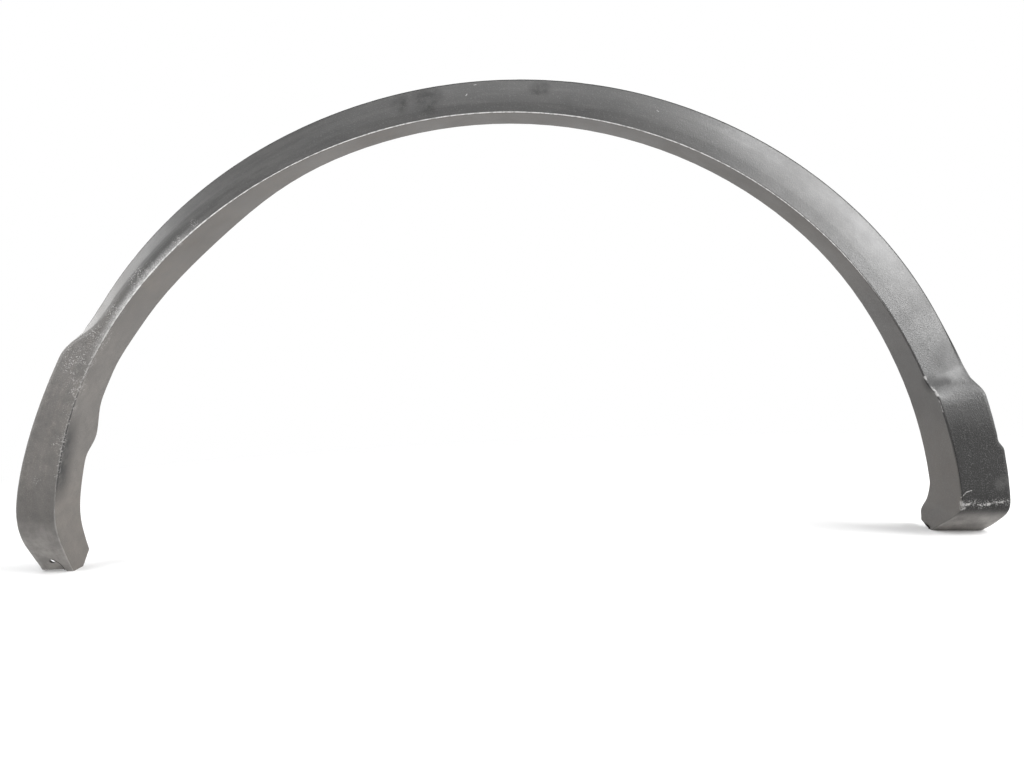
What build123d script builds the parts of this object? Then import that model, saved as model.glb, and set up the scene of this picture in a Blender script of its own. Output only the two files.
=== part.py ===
"""Wheel arch trim: one moulding that covers the edge of a car's wheel opening.

Millimetres, +Z up, X along the car, +Y from the outside of the car towards its body.
The form is drawn about the wheel's axis plane (x = 0) with both feet on z = 0, then moved so that
the middle of its footprint is the origin. A station is a cut square to the crease, named by its
angle on the opening's ellipse: 0 at the right foot, 90 at the top and 180 at the left foot.
"""

import os
from math import asin, atan, cos, degrees, radians, sin, sqrt

from build123d import *

# Opening: the crease runs along half an ellipse that stands on the ground
opening_half_width = 400
opening_height = 389

# Outer edge of the band: a second ellipse, a little off the first one's centre
edge_shift = 8
edge_rise = 33
side_band = 25
top_band = 31
edge_half_width = opening_half_width + side_band
edge_height = opening_height + top_band - edge_rise

# Wall of the moulding, and the roundings of its bends
wall = 2.8
crease_round = 1.5
ridge_round = 3.5
edge_round = 1.8

# Depth of the outer edge behind the crease at the top, on the right and on the left
edge_depth_top = 9
edge_depth_right = 14
edge_depth_left = 9
edge_right_start = 80
edge_right_full = 45
edge_left_full = 140
crown = 1.2

# Return wall behind the outer edge: its end plane lies on the car's body
body_plane = 20
return_least = 3
side_wall_spread = 3.5

# Left side: beside the crease a flat lip grows out of the band towards the foot
left_lip = 18
left_lip_start = 100
left_lip_full = 155
left_lip_width = 9
left_facet_start = 104
left_facet_full = 134
left_face_slope = 0.1

# Left leg: from the step down, the lip's flat is the whole face
left_step_top = 226
left_step_bottom = 183
left_leg_width = 28.6
left_foot_width = 37.8
left_widening_foot = 44
left_leg_drop = 6
left_drop_foot = 62

# Right leg: its face stands out from the band by a level joggle; fans are added height at the outer side
right_joggle = 10
right_joggle_top = 141
right_joggle_bottom = 127
right_joggle_fan = 60
right_fold_fan = 14
right_leg_width = 42
right_face_slope = 0.06
right_widening = 3.5
right_widening_height = 74
right_widening_run = 8

# Feet: from this height down the face curls back under the arch
left_curl_height = 50
left_curl_slope = 0.62
left_curl_round = 16
left_taper = 8.5
left_taper_height = 40
right_curl_height = 26
right_curl_outer_height = 19
right_curl_slope = 1.45
right_curl_round = 6
right_foot_tuck = 8
right_taper = 12
right_taper_height = 30

# Flange: depth of its back edge along the band, and its bulge on the left
flange_back = 35
flange_bulge = 13
flange_bulge_angle = 130
flange_bulge_spread = 17

# Flange of the left leg: shallower, with one tab, and its lower corner cut off
left_flange_back = 28
left_flange_curl = 0.8
left_tab = 10
left_tab_height = 122
left_tab_below = 20
left_tab_above = 36
left_corner_height = 13
left_corner_cut = 18

# Flange of the right leg: flared at the foot, with its lower corner rounded
right_flange_back = 41
right_flange_start = 45
right_flange_full = 22
right_flange_flare = 20
right_flare_height = 46
right_corner_height = 20
right_corner_cut = 27

# Left foot: a screw hole in a shallow round recess, and the nib beside the face's lower edge
screw_hole_diameter = 5
screw_hole_offset = 17
screw_hole_height = 10
recess_radius = 12
recess_offset = 20.5
recess_height = 3.5
recess_depth = 0.8
nib_height = 1.8
nib_width = 7

# Back: clip seats, open at one end and slotted for the clip's neck, and a cross rib between each two
seat_count = 8
seat_first = 30
seat_last = 142
seat_plane = 18
seat_width = 16
seat_length = 22
seat_wall = 1.8
seat_plate = 2.2
clip_slot = 7
rib_thickness = 1.8
rib_plane = 11

# Gaps between stations, in degrees: at each change of form, along the band, and their growth
corner_gap = 0.6
foot_gap = 0.95
widening_gap = 0.8
joggle_gap = 0.55
left_gap = 1.15
band_gap = 7.5
gap_growth = 0.25

# Length of cutting blocks, past anything they cut
reach = 90


def ramp(value, start, end):
    """Goes smoothly from 0 at start to 1 at end."""
    share = min(max((value - start) / (end - start), 0), 1)
    return share * share * (3 - 2 * share)


def bump(value, middle, spread):
    """Is 1 at the middle and goes smoothly to 0 at the spread on each side."""
    return ramp(abs(value - middle), spread, 0)


def blend(first, second, share):
    return first + (second - first) * share


def above_zero(value, rounding):
    """The positive part of a value, with its corner at zero rounded."""
    return (value + sqrt(value * value + rounding * rounding)) / 2


def larger(first, second):
    return second + above_zero(first - second, return_least)


def crease_point(angle):
    """Point of the crease in the arch's plane, and the direction out from the opening there."""
    c, s = cos(radians(angle)), sin(radians(angle))
    out = Vector(c / opening_half_width, 0, s / opening_height).normalized()
    return Vector(opening_half_width * c, 0, opening_height * s), out


def band_width(angle):
    """Distance from the crease to the outer edge's ellipse, square to the crease."""
    point, out = crease_point(angle)
    px, pz = (point.X - edge_shift) / edge_half_width, (point.Z - edge_rise) / edge_height
    qx, qz = out.X / edge_half_width, out.Z / edge_height
    a = qx * qx + qz * qz
    b = px * qx + pz * qz
    c = px * px + pz * pz - 1
    return (sqrt(b * b - a * c) - b) / a


def curl(left, height):
    """How far the foot's face has gone back at a height."""
    if left:
        return left_curl_slope * above_zero(left_curl_height - height, left_curl_round)
    return right_curl_slope * above_zero(right_curl_height - height, right_curl_round)


def outer_curl(height):
    """The same at the outer side of the right foot, where the curl begins lower."""
    return right_curl_slope * above_zero(right_curl_outer_height - height, right_curl_round)


def curl_stretch(left, height):
    """Wall of a level cut through a curled foot, against the wall square to its face."""
    slope = curl(left, height - 0.5) - curl(left, height + 0.5)
    return sqrt(1 + slope * slope)


def edge_depth(angle):
    depth = blend(edge_depth_top, edge_depth_right, ramp(angle, edge_right_start, edge_right_full))
    return blend(depth, edge_depth_left, ramp(angle, left_lip_start, edge_left_full))


def left_corners(angle):
    point, _ = crease_point(angle)
    height = point.Z
    leg = ramp(height, left_step_top, left_step_bottom)
    facet = ramp(angle, left_facet_start, left_facet_full)
    back = curl(True, height)
    lip = left_lip * ramp(angle, left_lip_start, left_lip_full)
    crease = back - lip + left_leg_drop * ramp(height, left_step_bottom, left_drop_foot)
    edge = edge_depth(angle)

    leg_width = blend(left_leg_width, left_foot_width, ramp(height, left_step_bottom, left_widening_foot))
    leg_width -= left_taper * ramp(height, left_taper_height, 0)
    ridge_width = blend(blend(band_width(angle) / 2, left_lip_width, facet), leg_width, leg)
    width = blend(band_width(angle), leg_width + side_wall_spread, leg)
    ridge = blend((crease + edge) / 2 - crown, crease + left_face_slope * ridge_width, facet)

    flange = flange_back + flange_bulge * bump(angle, flange_bulge_angle, flange_bulge_spread)
    flange = blend(flange, left_flange_back, leg) + left_flange_curl * back
    tab_spread = left_tab_above if height > left_tab_height else left_tab_below
    flange += left_tab * bump(height, left_tab_height, tab_spread)
    return Vector(0, flange), Vector(0, crease), Vector(ridge_width, ridge), Vector(width, edge)


def right_corners(angle):
    point, out = crease_point(angle)
    height = point.Z
    widening = ramp(height - right_widening_height, right_widening_run / 2, -right_widening_run / 2)
    taper = max(1 - height / right_taper_height, 0) ** 2
    leg_width = right_leg_width + right_widening * widening - right_taper * taper
    leg = ramp(height, right_joggle_top, right_joggle_bottom)
    outer_height = height + leg_width * out.Z
    outer_leg = ramp(outer_height, right_joggle_top + right_joggle_fan, right_joggle_bottom)
    fold = ramp(outer_height, right_joggle_top + right_fold_fan, right_joggle_bottom)
    back = curl(False, height)
    slope = edge_depth(angle) / band_width(angle)

    ridge_width = blend(band_width(angle) / 2, leg_width, outer_leg)
    width = blend(band_width(angle), leg_width + side_wall_spread, outer_leg)
    crease = back - right_joggle * leg
    leg_ridge = outer_curl(height) - right_joggle + right_face_slope * ridge_width
    ridge = blend(slope * ridge_width - crown, leg_ridge, fold)
    edge = blend(slope * width, edge_depth(angle), fold)

    tuck = -right_foot_tuck * ramp(height, right_curl_height, 0)
    flange = blend(flange_back, right_flange_back, ramp(angle, right_flange_start, right_flange_full))
    flange += right_flange_flare * ramp(height, right_flare_height, 0)
    flange -= right_corner_cut * max(1 - height / right_corner_height, 0) ** 2
    return Vector(tuck, flange), Vector(tuck, crease), Vector(ridge_width, ridge), Vector(width, edge)


def skin(angle, inset):
    """Corners of the section, moved in by a depth: back edge, crease, ridge, outer edge, return end.

    Each is a pair: distance out from the crease's ellipse, and depth towards the body.
    """
    point, _ = crease_point(angle)
    left = point.X < 0
    back_edge, crease, ridge, edge = left_corners(angle) if left else right_corners(angle)
    edge = Vector(edge.X, larger(edge.Y, ridge.Y + return_least))
    end = Vector(edge.X, larger(body_plane, edge.Y + return_least))
    corners = [back_edge, crease, ridge, edge, end]
    if inset == 0:
        return corners
    face = inset * curl_stretch(left, point.Z)
    return moved_in(corners, [inset, face, face, inset])


def moved_in(corners, depths):
    """Moves each side of an open outline in by its own depth."""
    sides = [(q - p).normalized() for p, q in zip(corners, corners[1:])]
    inward = [Vector(-s.Y, s.X) for s in sides]
    moved = [corners[0] + inward[0] * depths[0]]
    for corner, n, m, a, b in zip(corners[1:], inward, inward[1:], depths, depths[1:]):
        share = n.dot(m)
        if share > 0.999:
            moved.append(corner + (n + m) * (a / (1 + share)))
        else:
            spare = 1 - share * share
            moved.append(corner + n * ((a - b * share) / spare) + m * ((b - a * share) / spare))
    return moved + [corners[-1] + inward[-1] * depths[-1]]


def at_station(angle, pair):
    point, out = crease_point(angle)
    return point + out * pair.X + Vector(0, pair.Y, 0)


def rounded_chain(angle, corners, roundings):
    """Edges along an outline, each inner corner rounded by a curve of that tangent length."""
    edges = []
    start = corners[0]
    for before, corner, after, length in zip(corners, corners[1:], corners[2:], roundings):
        first = corner + (before - corner).normalized() * min(length, 0.45 * (before - corner).length)
        last = corner + (after - corner).normalized() * min(length, 0.45 * (after - corner).length)
        edges.append(Edge.make_line(at_station(angle, start), at_station(angle, first)))
        edges.append(Edge.make_bezier(*(at_station(angle, p) for p in (first, corner, last))))
        start = last
    return edges + [Edge.make_line(at_station(angle, start), at_station(angle, corners[-1]))]


def ridge_tangent(angle):
    """The band's ridge is a soft crown, which sharpens into the lip and the right leg."""
    point, _ = crease_point(angle)
    soft = band_width(angle) / 5
    if point.X < 0:
        return blend(soft, ridge_round, ramp(angle, left_facet_start, left_facet_full))
    return blend(soft, ridge_round, ramp(point.Z, right_joggle_top, right_joggle_bottom))


def wall_section(angle):
    outer = skin(angle, 0)
    inner = skin(angle, wall)
    ridge = ridge_tangent(angle)
    front = rounded_chain(angle, outer, [crease_round, ridge, edge_round])
    back = rounded_chain(angle, inner[::-1], [edge_round / 2, ridge, crease_round])
    return_end = Edge.make_line(at_station(angle, outer[-1]), at_station(angle, inner[-1]))
    flange_end = Edge.make_line(at_station(angle, inner[0]), at_station(angle, outer[0]))
    return Wire([*front, return_end, *back, flange_end])


def hollow(angle):
    """The space behind the face near a station, out to the middle of the wall."""
    span = degrees(seat_length / opening_half_width)
    wires = []
    for station in (angle - span, angle, angle + span):
        corners = skin(station, wall / 2)
        wires.append(Wire.make_polygon([at_station(station, p) for p in corners], close=True))
    return Solid.make_loft(wires)


def foot_angle(height, left):
    """Angle of the station at which the crease has a height."""
    angle = degrees(asin(min(height / opening_height, 1)))
    return 180 - angle if left else angle


def station_angles():
    """Close together where the form changes, and wider by degrees along the band."""
    widening_foot = foot_angle(right_widening_height - right_widening_run, False)
    widening_top = foot_angle(right_widening_height + right_widening_run, False)
    joggle_foot = foot_angle(2 * right_joggle_bottom - right_joggle_top, False)
    joggle_top = foot_angle(right_joggle_top, False)
    zones = [(0, foot_angle(right_corner_height, False), corner_gap)]
    zones.append((0, foot_angle(1.4 * right_curl_height, False), foot_gap))
    zones.append((widening_foot, widening_top, widening_gap))
    zones.append((joggle_foot, joggle_top, joggle_gap))
    zones.append((foot_angle(left_step_top, True), 180, left_gap))
    angles = [0]
    while angles[-1] < 180:
        place = angles[-1]
        gaps = [gap + gap_growth * max(start - place, place - end, 0) for start, end, gap in zones]
        angles.append(place + min(band_gap, *gaps))
    return [angle * 180 / angles[-1] for angle in angles]


def seat_place(angle, depth):
    """Plane across the back of the band at a depth, its X out from the opening."""
    _, out = crease_point(angle)
    inner = skin(angle, wall)
    middle = Vector((inner[1].X + inner[3].X) / 2, depth)
    return Plane(at_station(angle, middle), x_dir=out, z_dir=(0, 1, 0))


def clip_seat(angle):
    room = Pos(0, -seat_wall, 0) * Box(seat_width - 2 * seat_wall, seat_length, reach)
    walls = Box(seat_width, seat_length, reach) - room
    plate = Box(seat_width, seat_length, seat_plate)
    plate -= Pos(0, -seat_length / 4, 0) * Box(clip_slot, seat_length / 2, reach)
    plate -= Cylinder(clip_slot / 2, reach)
    place = seat_place(angle, seat_plane)
    standing = (place * Pos(0, 0, -reach / 2) * walls) & hollow(angle)
    return standing + place * Pos(0, 0, -seat_plate / 2) * plate


def cross_rib(angle):
    sheet = Pos(0, 0, -reach / 2) * Box(reach, rib_thickness, reach)
    return (seat_place(angle, rib_plane) * sheet) & hollow(angle)


def left_foot_face(offset, height):
    """Plane on the curled face of the left foot at a distance out from the crease and a height."""
    angle = foot_angle(height, True)
    point = at_station(angle, Vector(offset, skin(angle, 0)[1].Y + left_face_slope * offset))
    outward = Vector(0, -1, 0).rotate(Axis.X, degrees(atan(left_curl_slope)))
    return Plane(point, x_dir=(1, 0, 0), z_dir=outward)


shell = Solid.make_loft([wall_section(angle) for angle in station_angles()])

# Left foot: screw hole, recess, face ending a little above the flange, and the flange's corner
screw_hole = Cylinder(screw_hole_diameter / 2, 6 * wall)
screw_hole = left_foot_face(screw_hole_offset, screw_hole_height) * screw_hole
recess_floor = Pos(0, 0, wall - recess_depth) * Cylinder(recess_radius, 2 * wall)
recess = left_foot_face(recess_offset, recess_height) * recess_floor
above_nib = Box(reach, 2 * reach, reach, align=(Align.MAX, Align.CENTER, Align.MAX))
above_nib = Pos(-opening_half_width - nib_width, 0, nib_height) * above_nib
corner_top = skin(foot_angle(left_corner_height, True), 0)[0].Y
corner_foot = skin(180, 0)[0].Y - left_corner_cut
left_corner = Polyline(
    (corner_top, left_corner_height),
    (corner_foot, 0),
    (corner_foot, -reach),
    (corner_top + reach, -reach),
    (corner_top + reach, left_corner_height),
    close=True,
)
left_corner = extrude(Plane.YZ.offset(-opening_half_width) * make_face(left_corner), reach / 2, both=True)
trim = shell.cut(screw_hole, recess, above_nib, left_corner)

# Back: a clip seat at each place, and a cross rib between each two
seat_pitch = (seat_last - seat_first) / (seat_count - 1)
seats = [clip_seat(seat_first + seat_pitch * i) for i in range(seat_count)]
ribs = [cross_rib(seat_first + seat_pitch * (i + 0.5)) for i in range(seat_count - 1)]
trim = trim.fuse(*seats, *ribs)

box = trim.bounding_box()
trim = Pos(-box.center().X, -box.center().Y, -box.min.Z) * trim

os.makedirs("parts", exist_ok=True)
export_step(trim, "parts/arch_trim.step")
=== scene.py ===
import bpy
import math
from mathutils import Matrix, Vector

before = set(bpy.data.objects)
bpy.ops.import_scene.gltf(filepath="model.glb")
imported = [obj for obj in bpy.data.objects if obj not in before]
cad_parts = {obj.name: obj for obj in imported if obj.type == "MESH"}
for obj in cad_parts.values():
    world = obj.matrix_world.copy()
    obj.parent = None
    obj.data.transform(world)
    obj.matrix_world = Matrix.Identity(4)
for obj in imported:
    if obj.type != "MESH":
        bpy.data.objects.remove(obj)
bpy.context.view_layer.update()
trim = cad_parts["arch_trim"]

MM_PER_M = 1000
WHITE = (1, 1, 1, 1)

# The colour sockets of a mix node, which has others of the same names: share, first, second and result
COLOUR_MIX_INPUTS = (0, 6, 7)
COLOUR_MIX_RESULT = 2

# The value that a noise lies about
NOISE_MIDDLE = 0.5


def grey(level, warm=0.0):
    """A grey with a share more red and less blue in it."""
    return (level * (1 + warm), level, level * (1 - warm), 1)


class Graph:
    """Short calls for the node kinds that the materials use."""

    def __init__(self, tree):
        self.tree = tree

    def join(self, value, socket):
        """Links another node's output to a socket, or sets a plain value on it."""
        if isinstance(value, bpy.types.NodeSocket):
            self.tree.links.new(value, socket)
        else:
            socket.default_value = value

    def add(self, kind, sockets=(), **props):
        made = self.tree.nodes.new(kind)
        for name, value in props.items():
            setattr(made, name, value)
        for name, value in dict(sockets).items():
            self.join(value, made.inputs[name])
        return made

    def math(self, operation, *values, clamp=False):
        sockets = dict(enumerate(values))
        return self.add("ShaderNodeMath", sockets, operation=operation, use_clamp=clamp).outputs[0]

    def product(self, first, *others):
        for other in others:
            first = self.math("MULTIPLY", first, other)
        return first

    def most(self, first, *others):
        for other in others:
            first = self.math("MAXIMUM", first, other)
        return first

    def vector(self, operation, *values):
        made = self.add("ShaderNodeVectorMath", dict(enumerate(values)), operation=operation)
        return made.outputs["Value" if operation in ("DOT_PRODUCT", "LENGTH", "DISTANCE") else "Vector"]

    def parts(self, vector):
        return self.add("ShaderNodeSeparateXYZ", {0: vector}).outputs

    def noise(self, place, scale, detail, rough):
        sockets = {"Vector": place, "Scale": scale, "Detail": detail, "Roughness": rough}
        return self.add("ShaderNodeTexNoise", sockets).outputs["Fac"]

    def span(self, value, low, high, start=0.0, end=1.0):
        """Goes softly from start, where the value is low, to end, where it is high."""
        sockets = {"Value": value, "From Min": low, "From Max": high, "To Min": start, "To Max": end}
        return self.add("ShaderNodeMapRange", sockets, interpolation_type="SMOOTHSTEP").outputs[0]

    def mix(self, share, first, second):
        made = self.add("ShaderNodeMix", data_type="RGBA")
        for number, value in zip(COLOUR_MIX_INPUTS, (share, first, second)):
            self.join(value, made.inputs[number])
        return made.outputs[COLOUR_MIX_RESULT]


# Marks of use and places of painted light and shade, in the part's own millimetres: patches with a radius,
# and lines
TOP_STAINS = [((-81, -13, 402), 12), ((-58, -13, 404), 18), ((40, -12, 410), 12)]
FOLD_HAZE = ((397, -14, 160), 28)
FLECK_PATCHES = [
    ((-413, -28, 90), 5),
    ((-388, -32, 122), 9),
    ((-374, -35, 150), 10),
    ((-367, -35, 170), 13),
    ((-372, -34, 187), 11),
    ((-374, -33, 200), 8),
    ((-363, -35, 196), 13),
    ((-354, -36, 191), 10),
    ((-345, -35, 210), 16),
    ((-333, -33, 235), 12),
    ((-313, -30, 263), 13),
    ((-299, -31, 268), 8),
    ((-274, -29, 290), 7),
    ((-261, -27, 305), 5),
]
RUBBED_CREASE = [(-333, -34, 230), (-354, -36, 191), (-366, -36, 167), (-384, -33, 125), (-393, -30, 94)]
LEFT_GROOVE = [(-378, -32.5, 138), (-383, -31, 125), (-390, -29.5, 103), (-395, -28.5, 86), (-398, -28, 74)]
# Painted shade lies along this fold valley
FOLD_VALLEY = [(374, -18, 139), (386, -16.3, 139.5)]
# A painted highlight lies along the fold's corner
FOLD_CORNER_HIGHLIGHT = [(368, -17.5, 145), (370.5, -20, 140), (372, -22.5, 136), (373, -24.5, 133), (374, -27, 129)]
FOOT_SCRAPE = [(395, -26, 31.5), (406, -26, 32.4), (413, -25, 29.7), (424, -25, 32.3), (435, -24.6, 32)]
FOOT_SMEAR = [(429, -25.8, 48), (442, -25, 57)]
FOOT_HEEL = [(395, -26, 33), (396.4, -25, 28)]
NICKS_AND_HIGHLIGHT = [
    [(393.7, -26.5, 38), (396, -27.4, 40.5), (397.7, -27.4, 42.7), (403, -27, 44.3)],
    [(-16.6, -10.4, 415.6), (-15, -10.3, 416)],
    [(-22.9, -13.6, 407.3), (-24, -14.2, 405.6)],
    [(141, -12.5, 386.5), (142, -12.7, 385.6)],
    # This line continues the painted highlight of the fold's corner down the crease
    [(374, -27, 129), (375.5, -27.6, 122.4), (378.1, -27.5, 114.5)],
]

# A patch is full within this share of its radius
PATCH_CORE = 1 / 3

# The arch, in metres: the ellipses of the crease and of the outer edge, and the recess in the left foot
CREASE_MIDDLE = (-0.00432, 0, 0)
CREASE_HALF_WIDTH = 0.4
CREASE_HEIGHT = 0.389
EDGE_MIDDLE = (0.00368, 0, 0.033)
EDGE_HALF_WIDTH = 0.425
EDGE_HEIGHT = 0.387
LEFT_STEP_RISE = 0.06
RECESS_MIDDLE = (-0.4248, 0.0012, 0.0037)
RECESS_RADIUS = 0.012

# From here on, a pair or a row of four is a ramp: where a change starts and ends, and the values there if
# they aren't 0 and 1. Names that end in X, Z or WIDTH are in metres, in BAND they are shares of an ellipse,
# and in FACING or TILT parts of a wall's normal. The others are values of a noise or of another mask.

# Walls of the trim. The pairs named BOTH_FEET are no ramps: they are the right foot's value and the left's.
RIGHT_TO_LEFT_X = (0.1, -0.1)
INSIDE_FACING = (0.15, 0.6)
FLANGE_FACING = (-0.55, -0.9)
RETURN_WALL_FACING = (0.9, 0.97)
EDGE_BAND = (0.9955, 0.9985)
ABOVE_LEGS_Z = (0.14, 0.18)
CURL_TILT = (-0.05, -0.6)
CURL_TOP_BOTH_FEET = (0.032, 0.09)
CURL_END_BOTH_FEET = (0.006, 0.02)
# How strongly each foot's curl gets the painted reflection of the floor
CURL_FLOOR_LIGHT_BOTH_FEET = (0.95, 0.75)

# Noises: scale, detail and roughness
GRAIN = (900, 1.0, 0.6)
FINE_GRAIN = (2400, 0.0, 0.5)
CLOUDS = (8, 4.0, 0.6)
BLOTCHES = (26, 3.0, 0.55)
BREAKS = (270, 2.0, 0.6)
FLECKS = (1150, 1.0, 0.6)
SMEARS = (90, 4.0, 0.65)
STREAKS = (60, 3.0, 0.6)
STREAK_STRETCH = (6, 1, 0.5)
WIPES = (75, 3.0, 0.6)
WIPE_PITCH = 0.12

# The plastic itself
BODY_TONES = (grey(0.03), grey(0.044, 0.02))
BODY_CLOUDS = (0.35, 0.68)
BLOTCH_TONE = grey(0.024)
BODY_BLOTCHES = (0.5, 0.72, 0.0, 0.4)
WIPED_TONE = grey(0.066, 0.03)
BODY_WIPES = (0.45, 0.7, 0.0, 0.35)
GRAIN_TONE = grey(0.145, 0.01)
BODY_GRAIN = (0.52, 0.8, 0.0, 0.3)
# Painted shade: the rim, the outer edge above the legs and the return wall, is painted darker
RIM_SHADE_TONE = grey(0.02)
INSIDE_TONE = grey(0.07)

# Dust on the left side, and a painted reflection of the floor on the curl of both feet. The flange is
# cleaner about one height.
FLANGE_DUST = grey(0.12, 0.14)
FLANGE_DUST_X = (0.15, -0.3, 0.45, 1.0)
FLANGE_DUST_SMEARS = (0.3, 0.7, 0.6, 0.95)
CLEANER_HEIGHT = 0.16
CLEANER_WIDTH = (0.1, 0.03, 1.0, 0.3)
LEG_DUST = grey(0.235, 0.08)
LEG_DUST_X = (-0.29, -0.37)
LEG_DUST_Z = (0.04, 0.11, 0.55, 1.0)
LEG_DUST_SMEARS = (0.3, 0.7, 0.38, 0.65)
LEG_DUST_FLECKS = (0.5, 0.72, -0.03, 0.3)
BAND_DUST = grey(0.088, 0.02)
BAND_DUST_X = (-0.08, -0.24)
BAND_DUST_WIPES = (0.35, 0.6, 0.1, 0.4)
# Painted reflection of the floor, where the feet curl under and face down
CURL_FLOOR_LIGHT = grey(0.4, 0.04)
CURL_FLOOR_LIGHT_SMEARS = (0.3, 0.7, 0.5, 1.0)

# Stains on the top, painted shade over the right leg, specks and dirt on that leg, and painted shade in the
# fold above it
# One dark tone for the stains and for the painted shade
SOOT_AND_SHADE = grey(0.018)
TOP_STAIN_SMEARS = (0.3, 0.7, 0.1, 0.55)
RIGHT_LEG_X = (0.36, 0.39, 0.0, 0.8)
RIGHT_LEG_Z = (0.13, 0.09)
RIGHT_LEG_SPECK = grey(0.145)
RIGHT_LEG_FLECKS = (0.53, 0.7, 0.0, 0.5)
LEG_SHADE_OFF_FLANGE = (0.5, 0.0)
STAIN_AND_SHADE_OFF_CURL = (0.6, 0.0)
FOLD_SHADE_WIDTH = (0.012, 0.001, 0.0, 0.75)
FOOT_DIRT = grey(0.17, 0.02)
FOOT_DIRT_WIDTH = (0.009, 0.001)
FOOT_DIRT_SMEARS = (0.4, 0.6)
FOOT_DIRT_SHARE = 0.2

# The crease: a painted highlight along the arch and a painted sheen at the left lip, painted shade in it on
# the legs, and a dark band beside it on the left leg's flange. And painted shade at the recess's edge
CREASE_HIGHLIGHT_TONE = grey(0.85)
CREASE_HIGHLIGHT_SHARE = 0.9
CREASE_FACING = (0.0, -0.2)
CREASE_BAND = (0.014, 0.008)
CREASE_HIGHLIGHT_FACING = (-0.95, -0.75)
CREASE_HIGHLIGHT_X = (0.35, 0.3)
CREASE_HIGHLIGHT_Z = (0.16, 0.27, 0.15, 1.0)
CREASE_HIGHLIGHT_BREAKS = (0.3, 0.62, 0.45, 1.0)
SHEEN_BAND = (0.018, 0.001, 0.0, 0.6)
SHEEN_X = (-0.24, -0.31)
SHEEN_Z = (0.18, 0.25)
SHEEN_FACING = (-0.3, -0.1)
SHEEN_GRAIN = (0.35, 0.6, 0.5, 1.0)
GROOVE_FACING = (-0.5, -0.75)
GROOVE_END_FACING = (-0.9999, -0.985)
GROOVE_TOP_Z = (0.2, 0.13)
GROOVE_FOOT_Z = (0.06, 0.1)
SHADE_WIDTH = (0.026, 0.002)
SHADE_FACING = (-0.3, -0.6)
SHADE_SMEARS = (0.3, 0.62, 0.6, 1.0)
SHADE_TOP_Z = (0.156, 0.122)
SHADE_FOOT_Z = (0.058, 0.092)
RECESS_EDGE_WIDTH = (0.0012, 0.0003)
RECESS_EDGE_X = (-0.424, -0.418)

# Flecks round the left step
FLECK_TONE = grey(0.58, 0.02)
FLECK_SHARE = 0.65
RUBBED_WIDTH = (0.004, 0.0005)
PATCH_FLECKS = (0.53, 0.63)
PATCH_BREAKS = (0.4, 0.6)

# Scrapes across the right foot, a painted highlight on the fold above its leg and down its crease, and
# single nicks
SCUFF_AND_HIGHLIGHT_TONE = grey(0.58, 0.01)
SCUFF_AND_HIGHLIGHT_SHARE = 0.7
SCRAPE_SHAKE = 0.006
SCRAPE_WIDTH = (0.0011, 0.0003)
SCRAPE_STREAKS = (0.4, 0.55, 0.25, 1.0)
BESIDE_WIDTH = (0.0055, 0.0005, 0.0, 0.7)
BESIDE_FLECKS = (0.54, 0.66)
HEEL_WIDTH = (0.004, 0.0005)
HEEL_BREAKS = (0.45, 0.62, 0.1, 0.9)
NICK_AND_HIGHLIGHT_WIDTH = (0.0007, 0.0002)
NICK_AND_HIGHLIGHT_FLECKS = (0.4, 0.55, 0.2, 0.8)
CORNER_HIGHLIGHT_WIDTH = (0.0017, 0.0004)
CORNER_HIGHLIGHT_BREAKS = (0.35, 0.55, 0.3, 0.85)

# Roughness: of the plastic, and what marks add to it
CLOUD_ROUGHNESS = (0.3, 0.7, 0.37, 0.46)
BLOTCH_ROUGHNESS = (0.4, 0.7, -0.015, 0.025)
SMEAR_ROUGHNESS = (0.35, 0.65, -0.02, 0.02)
CREASE_HIGHLIGHT_SMOOTHS = 0.1
MARK_ROUGHENS = 0.2
RIM_MATT = 2.0
LIP_MATT = 1.2
STAIN_AND_SHADE_MATT = 0.6
HAZE_MATT = 0.4
LIP_X = (-0.12, -0.22)
LIP_Z = (0.2, 0.23)
LIP_BAND = (0.042, 0.034)
LIP_FACING = (-0.4, -0.2)

# Relief and gloss
FINE_SHARE = 0.4
FLANGE_RELIEF = (0.0, 1.0, 1.0, 0.5)
RELIEF_Z = (0.29, 0.18, 0.4, 1.0)
SCUFF_AND_HIGHLIGHT_DEPTH = 0.6
BUMP_STRENGTH = 0.45
BUMP_DISTANCE = 0.0005
GLOSS_TO_RIM = (0.0, 1.0, 0.72, 0.14)
STAIN_AND_SHADE_DULLS = 0.58
LEDGE_DULLS = 0.3
LEDGE_TILT = (0.15, 0.5)
LEDGE_X = (0.35, 0.37)
LEDGE_Z = (0.142, 0.138)
PLASTIC_IOR = 1.5


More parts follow.
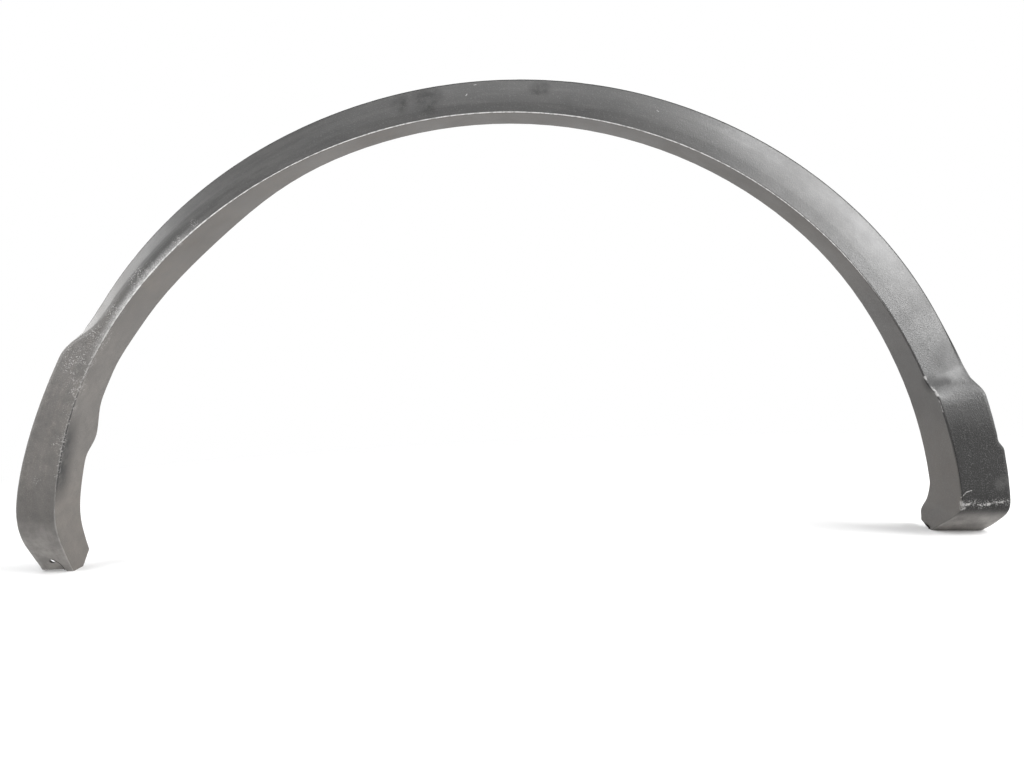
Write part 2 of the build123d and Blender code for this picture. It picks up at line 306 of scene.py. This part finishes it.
class Plastic(Graph):
    """Grained black polypropylene, greyed and marked by use, with some painted highlights and shade."""

    def __init__(self, tree):
        super().__init__(tree)
        self.find_walls()
        self.make_noises()
        self.paint_body()
        self.paint_dust()
        self.paint_stains_and_shade()
        self.paint_crease()
        self.paint_flecks()
        self.paint_scuffs_and_highlights()

    def on_ellipse(self, middle, half_width, height):
        """A place set against an upright ellipse: its length is 1 on the ellipse."""
        away = self.vector("SUBTRACT", self.place, middle)
        return self.vector("MULTIPLY", away, (1 / half_width, 0, 1 / height))

    def by_side(self, right, left):
        """One value on the right side and another on the left."""
        return self.span(self.x, *RIGHT_TO_LEFT_X, right, left)

    def near(self, middle, radius):
        """Goes from 1 about a point to 0 at a radius, in millimetres."""
        reach = radius / MM_PER_M
        away = self.vector("DISTANCE", self.place, tuple(Vector(middle) / MM_PER_M))
        return self.span(away, reach, reach * PATCH_CORE)

    def line_distance(self, points):
        """Distance to a broken line through points in millimetres."""
        best = None
        for first, last in zip(points, points[1:]):
            start = Vector(first) / MM_PER_M
            along = Vector(last) / MM_PER_M - start
            reach = self.vector("SUBTRACT", self.place, tuple(start))
            share = self.vector("DOT_PRODUCT", reach, tuple(along / along.length_squared))
            share = self.math("MAXIMUM", share, 0.0, clamp=True)
            nearest = self.add("ShaderNodeVectorMath", {0: tuple(along), "Scale": share}, operation="SCALE")
            away = self.vector("DISTANCE", reach, nearest.outputs["Vector"])
            best = away if best is None else self.math("MINIMUM", best, away)
        return best

    def paint(self, share, tone):
        """Lays a tone over those so far."""
        self.tone = self.mix(share, self.tone, tone)

    def find_walls(self):
        """Where a point lies, and on which wall of the trim."""
        self.place = self.add("ShaderNodeTexCoord").outputs["Object"]
        parts = self.parts(self.place)
        self.x = parts["X"]
        self.z = parts["Z"]
        normal = self.add("ShaderNodeNewGeometry").outputs["Normal"]
        lean = self.parts(normal)
        self.tilt = lean["Z"]
        self.inside = self.span(lean["Y"], *INSIDE_FACING)

        # Off the crease, and how far the wall faces out from the opening
        self.ring = self.on_ellipse(CREASE_MIDDLE, CREASE_HALF_WIDTH, CREASE_HEIGHT)
        self.reach = self.vector("LENGTH", self.ring)
        self.off_crease = self.math("ABSOLUTE", self.math("SUBTRACT", self.reach, 1.0))
        self.facing = self.vector("DOT_PRODUCT", normal, self.vector("NORMALIZE", self.ring))
        self.flange = self.span(self.facing, *FLANGE_FACING)

        # The rim: the outer edge above the legs, and the return wall
        edge = self.vector("LENGTH", self.on_ellipse(EDGE_MIDDLE, EDGE_HALF_WIDTH, EDGE_HEIGHT))
        height = self.math("SUBTRACT", self.z, self.by_side(0.0, LEFT_STEP_RISE))
        edge_line = self.product(self.span(edge, *EDGE_BAND), self.span(height, *ABOVE_LEGS_Z))
        self.rim = self.most(edge_line, self.span(self.facing, *RETURN_WALL_FACING))

        # Both feet, where they curl under
        curl = self.span(self.z, self.by_side(*CURL_TOP_BOTH_FEET), self.by_side(*CURL_END_BOTH_FEET))
        curl = self.product(self.span(self.tilt, *CURL_TILT), curl, self.by_side(*CURL_FLOOR_LIGHT_BOTH_FEET))
        self.curl = self.product(curl, self.span(self.flange, 1.0, 0.0))

    def make_noises(self):
        self.grain = self.noise(self.place, *GRAIN)
        self.fine = self.noise(self.place, *FINE_GRAIN)
        self.cloud = self.noise(self.place, *CLOUDS)
        self.blotch = self.noise(self.place, *BLOTCHES)
        self.breaks = self.noise(self.place, *BREAKS)
        self.fleck = self.noise(self.place, *FLECKS)
        self.smear = self.noise(self.place, *SMEARS)
        self.streak = self.noise(self.vector("MULTIPLY", self.place, STREAK_STRETCH), *STREAKS)
        ring = self.parts(self.ring)
        around = self.product(self.math("ARCTAN2", ring["Z"], ring["X"]), WIPE_PITCH)
        along = self.add("ShaderNodeCombineXYZ", {0: around, 1: self.reach}).outputs[0]
        self.wiped = self.noise(along, *WIPES)

    def paint_body(self):
        self.tone = self.mix(self.span(self.cloud, *BODY_CLOUDS), *BODY_TONES)
        self.paint(self.span(self.blotch, *BODY_BLOTCHES), BLOTCH_TONE)
        self.paint(self.span(self.wiped, *BODY_WIPES), WIPED_TONE)
        self.paint(self.span(self.grain, *BODY_GRAIN), GRAIN_TONE)

    def paint_dust(self):
        """Dust, a painted reflection of the floor on the feet's curl, and over it painted shade on the rim
        and the tone of the hidden back, which have no dust.
        """
        off_clean = self.math("ABSOLUTE", self.math("SUBTRACT", self.z, CLEANER_HEIGHT))
        left = self.product(self.span(self.x, *FLANGE_DUST_X), self.span(off_clean, *CLEANER_WIDTH))
        smears = self.span(self.smear, *FLANGE_DUST_SMEARS)
        self.paint(self.product(self.flange, left, smears), FLANGE_DUST)

        leg = self.product(self.span(self.x, *LEG_DUST_X), self.span(self.z, *LEG_DUST_Z))
        smears = self.span(self.smear, *LEG_DUST_SMEARS)
        flecks = self.span(self.fleck, *LEG_DUST_FLECKS)
        self.paint(self.product(leg, self.math("ADD", smears, flecks)), LEG_DUST)

        band = self.span(self.x, *BAND_DUST_X)
        self.paint(self.product(band, self.span(self.wiped, *BAND_DUST_WIPES)), BAND_DUST)
        # Painted reflection of the floor on the curl of both feet
        self.paint(self.product(self.curl, self.span(self.smear, *CURL_FLOOR_LIGHT_SMEARS)), CURL_FLOOR_LIGHT)
        # Painted shade on the rim
        self.paint(self.rim, RIM_SHADE_TONE)
        self.paint(self.inside, INSIDE_TONE)

    def paint_stains_and_shade(self):
        top = self.most(*[self.near(middle, radius) for middle, radius in TOP_STAINS])
        top = self.product(top, self.span(self.smear, *TOP_STAIN_SMEARS))
        # Painted shade: the right leg is darkened, except on its flange and curl
        right_leg = self.product(self.span(self.x, *RIGHT_LEG_X), self.span(self.z, *RIGHT_LEG_Z))
        leg = self.product(right_leg, self.span(self.flange, *LEG_SHADE_OFF_FLANGE))
        stains_and_shade = self.product(self.most(top, leg), self.span(self.curl, *STAIN_AND_SHADE_OFF_CURL))
        # Painted shade in the concave fold above the right leg
        fold = self.span(self.line_distance(FOLD_VALLEY), *FOLD_SHADE_WIDTH)
        self.stains_and_shade = self.most(stains_and_shade, fold)
        self.paint(self.stains_and_shade, SOOT_AND_SHADE)
        self.paint(self.product(right_leg, self.span(self.fleck, *RIGHT_LEG_FLECKS)), RIGHT_LEG_SPECK)

        dirt = self.span(self.line_distance(FOOT_SMEAR), *FOOT_DIRT_WIDTH)
        dirt = self.product(dirt, self.span(self.smear, *FOOT_DIRT_SMEARS), FOOT_DIRT_SHARE)
        self.paint(dirt, FOOT_DIRT)

    def paint_crease(self):
        """A painted highlight and sheen along the crease, painted shade in it on the legs, a dark band
        beside it on the left leg's flange, and painted shade at the edge of the recess.
        """
        crease = self.span(self.off_crease, *CREASE_BAND)
        crease = self.product(crease, self.span(self.facing, *CREASE_FACING))
        # Painted highlight along the crease of the arch, and a painted sheen beside it on the left
        arch = self.product(self.span(self.x, *CREASE_HIGHLIGHT_X), self.span(self.z, *CREASE_HIGHLIGHT_Z))
        crease_highlight = self.product(crease, self.span(self.facing, *CREASE_HIGHLIGHT_FACING), arch)
        crease_highlight = self.product(crease_highlight, self.span(self.breaks, *CREASE_HIGHLIGHT_BREAKS))
        sheen = self.product(self.span(self.off_crease, *SHEEN_BAND), self.span(self.facing, *SHEEN_FACING))
        sheen = self.product(sheen, self.span(self.x, *SHEEN_X), self.span(self.z, *SHEEN_Z))
        sheen = self.product(sheen, self.span(self.grain, *SHEEN_GRAIN))
        self.crease_highlight = self.most(crease_highlight, sheen)
        self.paint(self.product(self.crease_highlight, CREASE_HIGHLIGHT_SHARE), CREASE_HIGHLIGHT_TONE)

        # Painted shade in the crease on the legs
        legs = self.product(self.span(self.z, *GROOVE_TOP_Z), self.span(self.z, *GROOVE_FOOT_Z))
        groove_shade = self.product(crease, self.span(self.facing, *GROOVE_FACING), legs)
        groove_shade = self.product(groove_shade, self.span(self.facing, *GROOVE_END_FACING))
        # A dark band beside the crease on the left leg's flange, fading away from it and at its ends
        shade = self.product(self.span(self.z, *SHADE_TOP_Z), self.span(self.z, *SHADE_FOOT_Z))
        shade = self.product(shade, self.span(self.line_distance(LEFT_GROOVE), *SHADE_WIDTH))
        shade = self.product(shade, self.span(self.facing, *SHADE_FACING))
        shade = self.product(shade, self.span(self.smear, *SHADE_SMEARS))
        self.paint(self.most(groove_shade, shade), SOOT_AND_SHADE)

        # Painted shade at the right edge of the recess in the left foot
        off_edge = self.math("SUBTRACT", self.vector("DISTANCE", self.place, RECESS_MIDDLE), RECESS_RADIUS)
        recess_shade = self.span(self.math("ABSOLUTE", off_edge), *RECESS_EDGE_WIDTH)
        self.paint(self.product(recess_shade, self.span(self.x, *RECESS_EDGE_X)), SOOT_AND_SHADE)

    def paint_flecks(self):
        patches = [self.near(middle, radius) for middle, radius in FLECK_PATCHES]
        patches.append(self.span(self.line_distance(RUBBED_CREASE), *RUBBED_WIDTH))
        flecks = self.product(self.span(self.fleck, *PATCH_FLECKS), self.span(self.breaks, *PATCH_BREAKS))
        self.flecks = self.product(self.most(*patches), flecks)
        self.paint(self.product(self.flecks, FLECK_SHARE), FLECK_TONE)

    def paint_scuffs_and_highlights(self):
        """A scrape across the right foot with flecks beside it, a painted highlight on the fold's corner
        and down the crease below it, and nicks.
        """
        shake = self.product(self.math("SUBTRACT", self.breaks, NOISE_MIDDLE), SCRAPE_SHAKE)
        off_scrape = self.line_distance(FOOT_SCRAPE)
        scrape = self.span(self.math("ADD", off_scrape, shake), *SCRAPE_WIDTH)
        beside = self.span(off_scrape, *BESIDE_WIDTH)
        heel = self.span(self.line_distance(FOOT_HEEL), *HEEL_WIDTH)
        # Painted highlight on the fold's corner
        corner_highlight = self.span(self.line_distance(FOLD_CORNER_HIGHLIGHT), *CORNER_HIGHLIGHT_WIDTH)
        # Nicks, and a painted highlight down the right leg's crease
        nicks_and_highlight = self.most(*[self.span(self.line_distance(line), *NICK_AND_HIGHLIGHT_WIDTH) for line in NICKS_AND_HIGHLIGHT])
        self.scuffs_and_highlights = self.most(
            self.product(scrape, self.span(self.streak, *SCRAPE_STREAKS)),
            self.product(beside, self.span(self.fleck, *BESIDE_FLECKS)),
            self.product(heel, self.span(self.breaks, *HEEL_BREAKS)),
            self.product(nicks_and_highlight, self.span(self.fleck, *NICK_AND_HIGHLIGHT_FLECKS)),
            self.product(corner_highlight, self.span(self.breaks, *CORNER_HIGHLIGHT_BREAKS)),
        )
        self.paint(self.product(self.scuffs_and_highlights, SCUFF_AND_HIGHLIGHT_SHARE), SCUFF_AND_HIGHLIGHT_TONE)

    def roughness(self):
        clouds = self.span(self.cloud, *CLOUD_ROUGHNESS)
        rough = self.math("ADD", clouds, self.span(self.blotch, *BLOTCH_ROUGHNESS))
        rough = self.math("ADD", rough, self.span(self.smear, *SMEAR_ROUGHNESS))
        rough = self.math("SUBTRACT", rough, self.product(self.crease_highlight, CREASE_HIGHLIGHT_SMOOTHS))
        lip = self.product(self.span(self.x, *LIP_X), self.span(self.z, *LIP_Z))
        lip = self.product(lip, self.span(self.off_crease, *LIP_BAND), self.span(self.facing, *LIP_FACING))
        marks = self.most(
            self.scuffs_and_highlights,
            self.flecks,
            self.product(self.rim, RIM_MATT),
            self.product(lip, LIP_MATT),
            self.product(self.near(*FOLD_HAZE), HAZE_MATT),
            self.product(self.stains_and_shade, STAIN_AND_SHADE_MATT),
        )
        return self.math("ADD", rough, self.product(marks, MARK_ROUGHENS))

    def relief(self):
        """The normal, with the grain and the scuffs in it."""
        height = self.math("ADD", self.grain, self.product(self.fine, FINE_SHARE))
        height = self.product(height, self.span(self.flange, *FLANGE_RELIEF), self.span(self.z, *RELIEF_Z))
        height = self.math("SUBTRACT", height, self.product(self.scuffs_and_highlights, SCUFF_AND_HIGHLIGHT_DEPTH))
        sockets = {"Height": height, "Strength": BUMP_STRENGTH, "Distance": BUMP_DISTANCE}
        return self.add("ShaderNodeBump", sockets).outputs["Normal"]

    def gloss(self):
        ledge = self.product(self.span(self.tilt, *LEDGE_TILT), self.span(self.x, *LEDGE_X))
        ledge = self.product(ledge, self.span(self.z, *LEDGE_Z))
        dull = self.most(self.product(self.stains_and_shade, STAIN_AND_SHADE_DULLS), self.product(ledge, LEDGE_DULLS))
        return self.math("SUBTRACT", self.span(self.rim, *GLOSS_TO_RIM), dull)


def trim_plastic():
    material = bpy.data.materials.new("trim_plastic")
    material.use_nodes = True
    shader = material.node_tree.nodes["Principled BSDF"].inputs
    plastic = Plastic(material.node_tree)
    plastic.join(plastic.tone, shader["Base Color"])
    plastic.join(plastic.roughness(), shader["Roughness"])
    plastic.join(plastic.relief(), shader["Normal"])
    plastic.join(plastic.gloss(), shader["Specular IOR Level"])
    shader["IOR"].default_value = PLASTIC_IOR
    return material


trim.data.materials.clear()
trim.data.materials.append(trim_plastic())

# Camera: fitted to the arch in the photograph
CAMERA_PLACE = (0.00468, -0.69247, 0.198)
CAMERA_PITCH = math.radians(3.646)
CAMERA_ROLL = math.radians(-2.56)
FOCAL_LENGTH_MM = 27.03
SENSOR_WIDTH_MM = 36.0
NEAREST_SEEN = 0.01

level = Vector((1, 0, 0))
upright = Vector((0, math.sin(CAMERA_PITCH), math.cos(CAMERA_PITCH)))
ahead = Vector((0, math.cos(CAMERA_PITCH), -math.sin(CAMERA_PITCH)))
right = level * math.cos(CAMERA_ROLL) + upright * math.sin(CAMERA_ROLL)
up = upright * math.cos(CAMERA_ROLL) - level * math.sin(CAMERA_ROLL)
lens = bpy.data.cameras.new("camera")
lens.sensor_fit = "HORIZONTAL"
lens.sensor_width = SENSOR_WIDTH_MM
lens.lens = FOCAL_LENGTH_MM
lens.clip_start = NEAREST_SEEN
camera = bpy.data.objects.new("camera", lens)
bpy.context.scene.collection.objects.link(camera)
turn = Matrix((right, up, -ahead)).transposed().to_4x4()
camera.matrix_world = Matrix.Translation(CAMERA_PLACE) @ turn
bpy.context.scene.camera = camera

# Floor: pale paper, which turns plain white, to the camera and in reflections, away from the object
FLOOR_REACH = 6.0
PAPER_SEEN = grey(0.9)
PAPER_UNSEEN = grey(0.55, 0.02)
PAPER_ROUGHNESS = 0.9
FADE_STRETCH = (0.62, 1.0, 0)
FADE_WIDTH = (0.28, 0.75)


def floor_paper():
    """Matt where the object stands and throws its shadow, and plain white further off."""
    paper = bpy.data.materials.new("floor_paper")
    paper.use_nodes = True
    nodes = paper.node_tree.nodes
    graph = Graph(paper.node_tree)
    matt = nodes["Principled BSDF"]
    matt.inputs["Roughness"].default_value = PAPER_ROUGHNESS
    place = graph.add("ShaderNodeTexCoord").outputs["Object"]
    away = graph.vector("LENGTH", graph.vector("MULTIPLY", place, FADE_STRETCH))
    path = graph.add("ShaderNodeLightPath").outputs
    seen = path["Is Camera Ray"]
    graph.join(graph.mix(seen, PAPER_UNSEEN, PAPER_SEEN), matt.inputs["Base Color"])
    white = graph.add("ShaderNodeEmission", {"Color": WHITE, "Strength": 1.0})
    rays = graph.most(seen, path["Is Glossy Ray"], path["Is Transmission Ray"])
    share = graph.product(graph.span(away, *FADE_WIDTH), rays)
    both = graph.add("ShaderNodeMixShader", {0: share, 1: matt.outputs[0], 2: white.outputs[0]})
    graph.join(both.outputs[0], nodes["Material Output"].inputs["Surface"])
    return paper


corners = [(-1, -1, 0), (1, -1, 0), (1, 1, 0), (-1, 1, 0)]
sheet = bpy.data.meshes.new("floor")
sheet.from_pydata([Vector(corner_highlight) * FLOOR_REACH for corner_highlight in corners], [], [(0, 1, 2, 3)])
sheet.materials.append(floor_paper())
floor = bpy.data.objects.new("floor", sheet)
bpy.context.scene.collection.objects.link(floor)

# Light: a pale room that is darker on the camera's side, and soft lamps above, at both sides and behind.
# The room's two ramps go by how far a direction points along Y, away from the camera.
ROOM_LIGHT = (-0.9, 0.4, 0.07, 0.58)
WHITE_BEHIND = (0.0, 0.4)


def light_room():
    """Light for the object, and plain white to the camera and, at the back, to mirrored rays."""
    world = bpy.data.worlds.new("room")
    bpy.context.scene.world = world
    world.use_nodes = True
    world.node_tree.nodes.clear()
    graph = Graph(world.node_tree)
    path = graph.add("ShaderNodeLightPath").outputs
    depth = graph.parts(graph.add("ShaderNodeTexCoord").outputs["Generated"])["Y"]
    room = graph.add("ShaderNodeBackground", {"Color": WHITE, "Strength": graph.span(depth, *ROOM_LIGHT)})
    plain = graph.add("ShaderNodeBackground", {"Color": WHITE, "Strength": 1.0})
    mirrored = graph.most(path["Is Glossy Ray"], path["Is Transmission Ray"])
    mirrored = graph.product(mirrored, graph.span(depth, *WHITE_BEHIND))
    seen = graph.most(path["Is Camera Ray"], mirrored)
    both = graph.add("ShaderNodeMixShader", {0: seen, 1: room.outputs[0], 2: plain.outputs[0]})
    graph.add("ShaderNodeOutputWorld", {"Surface": both.outputs[0]})


def lamp(name, place, target, width, height, power):
    light = bpy.data.lights.new(name, "AREA")
    light.shape = "RECTANGLE"
    light.size = width
    light.size_y = height
    light.energy = power
    holder = bpy.data.objects.new(name, light)
    bpy.context.scene.collection.objects.link(holder)
    way = Vector(target) - Vector(place)
    holder.visible_camera = False
    holder.matrix_world = Matrix.Translation(place) @ way.to_track_quat("-Z", "Y").to_matrix().to_4x4()


light_room()
lamp("lamp_top", place=(0, -0.75, 1.7), target=(0, 0, 0.35), width=1.6, height=1.0, power=12.5)
lamp("lamp_right", place=(1.42, -0.54, 0.95), target=(0.35, 0, 0.25), width=0.9, height=1.5, power=43)
lamp("lamp_left", place=(-1.3, -0.6, 0.75), target=(-0.3, 0, 0.25), width=0.9, height=1.0, power=11)
lamp("lamp_back", place=(-1.3, 0.8, 0.7), target=(-0.35, 0, 0.2), width=1.0, height=1.0, power=5)

bpy.context.scene.view_settings.view_transform = "Standard"
